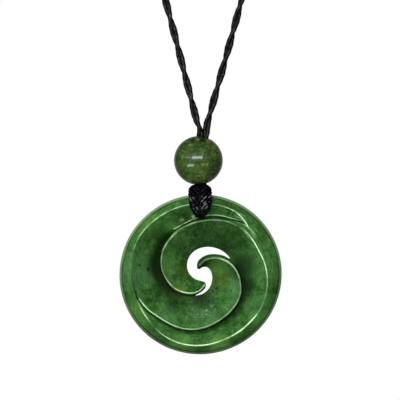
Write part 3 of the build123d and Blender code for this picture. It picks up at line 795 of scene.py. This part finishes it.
# Bead. A round bead of the same stone, more olive and more flawed, drilled through for both strands and
# threaded above the disc, so it hides where the strands meet the lashing.
BEAD_RADIUS = 0.00603
BEAD_SHIFT = -0.00055  # to the viewer's left
BEAD_DROP = 0.0001
BORE_RADIUS = 0.0018
BORE_DEPTH = 2.04  # of the bead's radius
BORE_SHIFTS = (-0.0002, 0.0006)  # the leaning bore's place at the bead's foot and top
bead_low, bead_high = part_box("bead")
bead_centre = Vector((
    disc_centre.x + BEAD_SHIFT, disc_centre.y, (bead_low.z + bead_high.z) / 2 - BEAD_DROP
))
bead_jade, shader, centred, colour = jade("bead jade", bead_centre, {
    "Deep": linear(34, 58, 16), "Body": linear(52, 80, 26), "Pale": linear(82, 108, 46),
    "Cloud Scale": 170.0, "Wisps": 0.42, "Specks": 1.0,
}, (0.00004, 0.6), {
    "IOR": 1.6, "Specular IOR Level": 0.3, "Subsurface Weight": 0.3, "Subsurface Radius": (0.6, 1.0, 0.3),
    "Subsurface Scale": 0.0015, "Coat Weight": 0.8, "Coat Roughness": 0.05,
})
BEAD_PALE, BEAD_GREEN, RUST = (112, 138, 64), (44, 92, 24), (88, 88, 38)
# The first two patches make the bead darker towards its top and paler towards its bottom.
BEAD_TINTS = [Tint(*row) for row in (
    (0, 6.4, 6.6, DARK, 0.42), (0.3, -5, 4.2, BEAD_PALE, 0.42), (1.4, -1.6, 1.8, RUST, 0.25),
    (2.6, 3.4, 1.6, RUST, 0.24), (-2, -2, 2.2, BEAD_GREEN, 0.4), (0.6, -0.6, 1, DARK, 0.51),
    (2.5, -4.8, 1.2, DARK, 0.59),
)]
BEAD_CHIPS = [Tint(*row) for row in (
    (-1.4, 5, 0.9, DARK, 0.98), (0.9, 5.1, 1.1, DARK, 0.98), (2.2, 4.6, 0.7, RUST, 0.54),
    (-0.2, 5.2, 0.5, BEAD_PALE, 0.29), (1, -1.1, 0.5, BEAD_PALE, 0.7), (2.1, -1, 0.4, BEAD_PALE, 0.6),
    (-1.9, 3.8, 0.4, BEAD_PALE, 0.61), (-0.3, -0.4, 0.6, DARK, 0.76),
)]
colour = tinted(centred, colour, BEAD_TINTS)
# Fine cracks between the stone's grains, open only in patches, then ragged chips
CRACK_STRAYING, CHIP_STRAYING = 0.0022, 0.0018
wavy = noise(centred, 500.0, 3.0)
strayed = centred + combine(wavy, 0.0, wavy) * CRACK_STRAYING
crack = ramp(field(centred.tree, "ShaderNodeTexVoronoi", {
    "Vector": strayed, "Scale": 430.0,
}, "Distance", feature="DISTANCE_TO_EDGE"), 0.0, 0.10, 1.0, 0.0)
open_crack = crack * ramp(noise(centred, 260.0), 0.40, 0.60, 0.1, 0.8)
colour = blend(open_crack, colour, linear(18, 34, 8))
torn = {"Vector": centred, "Scale": 1400.0, "Detail": 2.0}
torn = field(centred.tree, "ShaderNodeTexNoise", torn, "Color")
colour = tinted(centred + (torn - (0.5, 0.5, 0.5)) * CHIP_STRAYING, colour, BEAD_CHIPS)
blotches = ramp(noise(centred, 900.0, 6.0, 0.8), 0.34, 0.66, 0.16, 0.84)
feed(shader, {"Base Color": blend(0.6, colour, blotches, "OVERLAY")})

values = {
    "Radius": BEAD_RADIUS, "Place": bead_centre, "Unevenness": 0.00004,
    "Bore Place": Vector((disc_centre.x + sum(BORE_SHIFTS) / 2, bead_centre.y, bead_centre.z)),
    "Bore Lean": Vector((0, (BORE_SHIFTS[1] - BORE_SHIFTS[0]) / (2 * BEAD_RADIUS), 0)),
    "Bore Radius": BORE_RADIUS, "Bore Flare": 0.05, "Material": bead_jade,
}
turned, given = new_shape("Turned and drilled bead", values)
ball = field(turned, "GeometryNodeMeshIcoSphere", {"Radius": given["Radius"], "Subdivisions": 6})
ball = placed(uneven(ball, 260.0, 2.0, given["Unevenness"]), Translation=given["Place"])
close_shape(bored(
    ball, given["Bore Radius"], given["Radius"] * BORE_DEPTH, given["Bore Flare"], given["Bore Lean"],
    given["Bore Place"],
), given)
bead = settle("round_bead", None, turned, values, SHARP_ANGLE)
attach(bead, "root")
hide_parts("bead")


# Neck cord. Two strands of waxed cord, each of two plies laid up together, come up side by side through the
# bead, part above it and go round the neck. Each ply shows the yarns that it is spun from.
PARTING_RISE = 0.03643  # above the disc's centre
FRONT = 0.138  # from the nape to the hanging disc
DROP = 0.270
KNOT_RADIUS = 0.0024
LOOP_HALF_WIDTH = 0.062
STRAND_SPACING = 0.0015  # between the two strands inside the bead
PARTING_SPACING = 0.00233
PARTING_SHIFT = 0.00042  # of the parting's middle to the viewer's right
STRAND_START = 0.0212  # rise at which they leave the lashing
PLY_RADIUS = 0.00055
PLY_OFFSET = 0.00040  # of a ply from the middle of its strand
PLY_STEP = 0.00036
LAY_LENGTH = 0.0138  # one whole turn of the two plies
YARN_LAY = 0.0095
SQUEEZE_EASE = 0.006  # length over which the plies open again above the bead
UNDER_PARTING = (0.004, 0.0004)  # where a strand is steered inside the bead
OVER_PARTING = 0.0007
PAST_PARTING = 0.06  # of the way from the parting to the next point, where a strand is steered once more
END_SPACING = 0.0005  # of a strand's end from the middle of the knot
ZONE_STRETCH = (0.4, 0, 1)  # of a zone of painted glints, which is wider than high

# One side past the parting. side: out to the side, of the loop's half width; lean: how much of the pair's
# own shift is still in it; back: of the way from the front to the nape; rise: of the height from the
# parting to the nape.
Point = namedtuple("Point", "side lean back rise")
ROUTE = [Point(*row) for row in (
    (0.1635, 2, 0, 0.1455), (0.395, 0, 0.029, 0.3835), (0.66, 0, 0.121, 0.619),
    (0.903, 0, 0.335, 0.8115), (1, 0, 0.613, 0.9187), (0.806, 0, 0.862, 0.9786),
    (0.435, 0, 0.997, 0.9996),
)]


def strand_points(side):
    """The route of one strand, from the lashing to the nape. side: -1 left, 1 right."""
    points = []
    for rise in (STRAND_START, *(PARTING_RISE - under for under in UNDER_PARTING)):
        share = (disc_centre.z + rise - bead_centre.z + BEAD_RADIUS) / (2 * BEAD_RADIUS)
        lean = BORE_SHIFTS[0] + (BORE_SHIFTS[1] - BORE_SHIFTS[0]) * share
        points.append(disc_centre + Vector((lean + side * STRAND_SPACING / 2, 0, rise)))
    parting = disc_centre + Vector((
        PARTING_SHIFT + side * PARTING_SPACING / 2, 0, PARTING_RISE + OVER_PARTING
    ))
    points.append(parting)
    for point in ROUTE:
        across = disc_centre.x + side * point.side * LOOP_HALF_WIDTH + point.lean * PARTING_SHIFT
        back = disc_centre.y + point.back * (FRONT + KNOT_RADIUS)
        rise = disc_centre.z + PARTING_RISE + point.rise * (DROP - PARTING_RISE)
        points.append(Vector((across, back, rise)))
    points.insert(4, parting.lerp(points[4], PAST_PARTING))
    points.append(Vector((side * END_SPACING, KNOT_RADIUS, 0)))
    return points


def route_curve(name, points):
    """A curve object of one smooth spline steered by the points."""
    data = bpy.data.curves.new(name, "CURVE")
    data.dimensions = "3D"
    data.resolution_u = 24
    spline = data.splines.new("NURBS")
    spline.points.add(len(points) - 1)
    for control, place in zip(spline.points, points):
        control.co = (*place, 1)
    spline.order_u = 3
    spline.use_endpoint_u = True
    return show(name, data)


# Waxed cord: black, its yarns just told apart by glints of shine painted into their colour
waxed, yarn = new_tree("ShaderNodeTree", "Waxed yarn", {
    "Place": "Vector", "Shade": "Color", "Glint": "Color",
}, LOOK)
fibres = noise(yarn["Place"], 2600.0, 4.0, 0.7)
add(waxed, "NodeGroupOutput", {
    "Color": blend(ramp(fibres, 0.53, 0.72), yarn["Shade"], yarn["Glint"]),
    "Roughness": ramp(noise(yarn["Place"], 420.0, 3.0), 0.35, 0.65, 0.26, 0.46),
    "Height": fibres,
})


def cord_material(name, gloss, glint, zone=None):
    """A black waxed cord. Its painted glints, up to 255 strong, may be left to a zone: its middle and reach.
    """
    material, shader = new_material(name, {"Specular IOR Level": gloss})
    paint = material.node_tree
    place = field(paint, "ShaderNodeTexCoord", output="Object")
    shade, shine = linear(4, 3, 6), linear(glint, glint - 2, glint + 6)
    look = {"Place": place, "Shade": shade, "Glint": shine}
    look = add(paint, "ShaderNodeGroup", look, node_tree=waxed).outputs
    colour = look["Color"]
    if zone:
        middle, reach = zone
        apart = (place * ZONE_STRETCH).of("DISTANCE", middle * Vector(ZONE_STRETCH))
        sheen = field(paint, "ShaderNodeAttribute", output="Fac", attribute_name="sheen")
        colour = blend(sheen * ramp(apart, 0.4 * reach, reach, 1.0, 0.08), shade, shine)
    feed(shader, {
        "Base Color": colour, "Roughness": look["Roughness"],
        "Normal": bumped(paint, look["Height"], 0.00004, 0.5),
    })
    return material


def lobed(tree, radius, lobes, depth, resolution):
    """The closed outline of a ply: a circle with a shallow furrow between its yarns."""
    circle = field(tree, "GeometryNodeCurvePrimitiveCircle", {"Resolution": resolution, "Radius": radius})
    wave = (field(tree, "GeometryNodeSplineParameter") * (2 * pi * lobes)).of("COSINE")
    return moved(circle, Position=field(tree, "GeometryNodeInputPosition") * (wave * depth + 1.0))


def swept(curve, profile, scale, capped=False):
    """A solid cord along a curve."""
    return field(curve.tree, "GeometryNodeCurveToMesh", {
        "Curve": curve, "Profile Curve": profile, "Scale": scale, "Fill Caps": capped,
    })


neck_wax = cord_material("waxed neck cord", 0.30, 52)
values = {
    "Step": PLY_STEP, "Ply Radius": PLY_RADIUS, "Ply Offset": PLY_OFFSET, "Lay Length": LAY_LENGTH,
    "Lay Start": 0.0, "Yarn Lay": YARN_LAY, "Squeezed": 0.97, "Squeezed Length": 0.013,
    "Material": neck_wax,
}
twist, given = new_shape("Two plies laid up", values)
even = field(twist, "GeometryNodeResampleCurve", {
    "Curve": given["Geometry"], "Length": given["Step"],
}, mode="LENGTH")
plies = add(twist, "GeometryNodeDuplicateElements", {"Geometry": even, "Amount": 2}, domain="SPLINE").outputs
length = field(twist, "GeometryNodeSplineParameter", output="Length")
angle = (Field(plies[1]) * 0.5 + length / given["Lay Length"] + given["Lay Start"]) * (2 * pi)
normal = field(twist, "GeometryNodeInputNormal")
side = field(twist, "GeometryNodeInputTangent").of("CROSS_PRODUCT", normal)
round_path = normal * angle.of("COSINE") + side * angle.of("SINE")
squeezed_end = given["Squeezed Length"] + SQUEEZE_EASE
eased = ramp(length, given["Squeezed Length"], squeezed_end, given["Squeezed"], 1.0)
laid = moved(Field(plies[0]), Offset=round_path * (given["Ply Offset"] * eased))
yarn_turn = length / given["Yarn Lay"] * (-2 * pi)
spun = field(twist, "GeometryNodeSetCurveTilt", {"Curve": laid, "Tilt": yarn_turn})
close_shape(swept(spun, lobed(twist, given["Ply Radius"], 5, 0.06, 20), eased, True), given)
for name, side, lay_start in (("left", -1, -0.13), ("right", 1, 0.14)):
    route = route_curve(f"route {name}", strand_points(side))
    strand = settle(f"twisted_cord_{name}", route, twist, {**values, "Lay Start": lay_start})
    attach(strand, "root")
    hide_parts(f"neck_cord_{name}")


# Lashing. A flat plait of nine waxed cords goes through the hole near the disc's top and round its rim, and
# closes under the bead. Its cords run in to the middle on top and out again below, which makes the chevrons.
LASHING_WIDTH = 0.0056
LASHING_DEPTH = 0.0022
LASHING_STEPS = 48
LASHING_SHIFT = -0.0001  # the binding sits a little to the viewer's left
LASHING_CORD_RADIUS = 0.00047
GLINT_ZONE_PLACE, GLINT_ZONE_REACH = (0.0001, 0, 0.0178), 0.0026  # the middle of the plait where its painted glints show, from the disc's centre
PATH_POINTS = 480
CORE_SHARE = 0.44  # radius of the cords inside the plait, of its thickness
FLATTENING = 0.8  # of the plait towards its edges

# The ring by the turn from the cord hole, in degrees. out: towards the front, of half the disc's thickness;
# rise: above the disc's centre, of its radius; wide and thick: of the lashing's width and depth.
Station = namedtuple("Station", "turn out rise wide thick")
LASHING = [Station(*row) for row in (
    (0, 0, 0.7725, 0.42, 1.28), (20, 0.97, 0.7665, 0.42, 1.32), (40, 1.31, 0.75, 0.54, 1.02),
    (60, 1.41, 0.805, 0.83, 0.84), (85, 1.35, 0.875, 1, 0.78), (110, 1.33, 0.945, 1.03, 0.82),
    (135, 1.16, 1.008, 1.04, 0.92), (160, 0.72, 1.052, 0.98, 1), (180, 0, 1.064, 0.88, 1),
)]
stations = []
for step in range(LASHING_STEPS):
    turn = step * 360 / LASHING_STEPS
    mirror = -1 if turn > 180 else 1
    turn = min(turn, 360 - turn)
    out = mirror * smooth(LASHING, "out", turn) * DISC_THICKNESS / 2
    rise = smooth(LASHING, "rise", turn) * DISC_RADIUS
    wide = smooth(LASHING, "wide", turn) * LASHING_WIDTH
    thick = smooth(LASHING, "thick", turn) * LASHING_DEPTH
    stations.append((disc_centre + Vector((LASHING_SHIFT, -out, rise)), wide, thick))
places, widths, depths = zip(*stations)
ring_mesh = bpy.data.meshes.new("lashing path")
ring_mesh.from_pydata(places, [(step, (step + 1) % LASHING_STEPS) for step in range(LASHING_STEPS)], [])
for label, values in (("wide", widths), ("thick", depths)):
    ring_mesh.attributes.new(label, "FLOAT", "POINT").data.foreach_set("value", values)
ring = show("lashing path", ring_mesh)


def stored(tree, name, kind="FLOAT"):
    """The value of an attribute."""
    return field(tree, "GeometryNodeInputNamedAttribute", {"Name": name}, "Attribute", data_type=kind)


def store(geometry, name, value, kind="FLOAT"):
    """Geometry with a value kept as an attribute."""
    inputs = {"Geometry": geometry, "Name": name, "Value": value}
    return field(geometry.tree, "GeometryNodeStoreNamedAttribute", inputs, data_type=kind)


def join(first, second):
    """Two geometries as one."""
    node = add(first.tree, "GeometryNodeJoinGeometry", {0: first})
    feed(node, {0: second})
    return Field(node.outputs[0])


glint_zone_place = disc_centre + Vector(GLINT_ZONE_PLACE)
values = {
    "Cords": 9, "Rounds": 3, "Cord Radius": LASHING_CORD_RADIUS, "Full Width": LASHING_WIDTH,
    "Material": cord_material("waxed lashing", 0.06, 104, (glint_zone_place, GLINT_ZONE_REACH)),
}
plait, given = new_shape("Flat plait round a ring", values)
path = field(plait, "GeometryNodeMeshToCurve", {"Mesh": given["Geometry"]})
even = field(plait, "GeometryNodeResampleCurve", {"Curve": path, "Count": PATH_POINTS}, mode="COUNT")
cords = add(plait, "GeometryNodeDuplicateElements", {
    "Geometry": even, "Amount": given["Cords"],
}, domain="SPLINE").outputs
wide, thick = stored(plait, "wide"), stored(plait, "thick")
tangent = field(plait, "GeometryNodeInputTangent")
outwards = tangent.of("CROSS_PRODUCT", (-1, 0, 0)).of("NORMALIZE")
# Each cord runs from one edge to the other and back, over the others one way and under them the other way
phase = Field(cords[1]) / given["Cords"] - field(plait, "GeometryNodeSplineParameter") * given["Rounds"]
zigzag = (phase * 2.0).of("PINGPONG", 1.0) * 2.0 - 1.0
rounded_zigzag = zigzag * (abs(zigzag) ** 4.0 * -0.25 + 1.25)
wandering = field(plait, "ShaderNodeTexNoise", {"Scale": 700.0, "Detail": 1.0})
across = wandering * 0.16 + (rounded_zigzag - 0.08)
swing = (phase * (2 * pi) * 2.0).of("SINE")
lift = swing.of("SIGN") * abs(swing) ** 0.45
crown = (across * across * -FLATTENING + 1.0).of("SQRT")
fullness = ramp(wide / given["Full Width"], 0.3, 1.0, 0.55, 1.0, "LINEAR")
cord_radius = given["Cord Radius"] * fullness
reach = wide * 0.5 - cord_radius
height = thick * 0.5 - cord_radius * 0.8
offset = combine(across * reach, 0.0, 0.0) + outwards * (height * (lift * crown))
woven = store(moved(Field(cords[0]), Offset=offset), "lift", lift)
woven = store(woven, "outwards", outwards, "FLOAT_VECTOR")
cord = swept(woven, lobed(plait, given["Cord Radius"], 2, 0.10, 12), fullness)
# Painted highlights: the wax shines in spots on the tops of the raised cords, painted into their colour
facing = field(plait, "GeometryNodeInputNormal").of("DOT_PRODUCT", stored(plait, "outwards", "FLOAT_VECTOR"))
picked = field(plait, "ShaderNodeTexNoise", {"Scale": 1100.0, "Detail": 2.0})
sheen = ramp(facing, 0.93, 1.0) * ramp(stored(plait, "lift"), 0.2, 0.9) * ramp(picked, 0.46, 0.60)
core = swept(even, lobed(plait, CORE_SHARE, 1, 0.0, 12), thick)
close_shape(join(store(cord, "sheen", sheen), core), given)
binding = settle("plaited_lashing", ring, plait, values)
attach(binding, "root")
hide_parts("lashing")


# Nape knot. The two strands' ends meet at the back of the neck inside a barrel of round turns of the same
# waxed cord, each turn drawn up tight against the last.
KNOT_LENGTH = 0.009
KNOT_CORD_RADIUS = 0.0005
KNOT_TURNS = 8
KNOT_SHARP_ANGLE = 60
knot_low, knot_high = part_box("nape_knot")
knot_centre = (knot_low + knot_high) / 2
values = {
    "Turns": float(KNOT_TURNS), "Barrel Radius": KNOT_RADIUS, "Barrel Length": KNOT_LENGTH,
    "Cord Radius": KNOT_CORD_RADIUS, "Material": neck_wax,
    "Place": knot_centre - Vector((KNOT_LENGTH / 2 - KNOT_CORD_RADIUS, 0, 0)),
}
barrel, given = new_shape("Round turns", values)
inside = given["Barrel Radius"] - given["Cord Radius"]
pitch_length = given["Cord Radius"] * -2.0 + given["Barrel Length"]
coil = field(barrel, "GeometryNodeCurveSpiral", {
    "Resolution": 40, "Rotations": given["Turns"], "Start Radius": inside, "End Radius": inside,
    "Height": pitch_length,
})
# The first and last turns are drawn in
middle = abs(field(barrel, "GeometryNodeSplineParameter") * 2.0 - 1.0)
shrink = middle ** 10.0 * -0.32 + 1.0
tightened = moved(coil, Position=field(barrel, "GeometryNodeInputPosition") * combine(shrink, shrink, 1.0))
turns = swept(tightened, lobed(barrel, given["Cord Radius"], 3, 0.08, 12), 1.0, True)
core = field(barrel, "GeometryNodeMeshCylinder", {
    "Vertices": 32, "Radius": given["Cord Radius"] * -0.8 + inside, "Depth": pitch_length,
})
core = placed(core, Translation=combine(0.0, 0.0, pitch_length * 0.5))
whole = placed(join(turns, core), Translation=given["Place"], Rotation=(0, radians(90), 0))
close_shape(whole, given)
knot = settle("wound_nape_knot", None, barrel, values, KNOT_SHARP_ANGLE)
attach(knot, "root")
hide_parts("nape_knot")
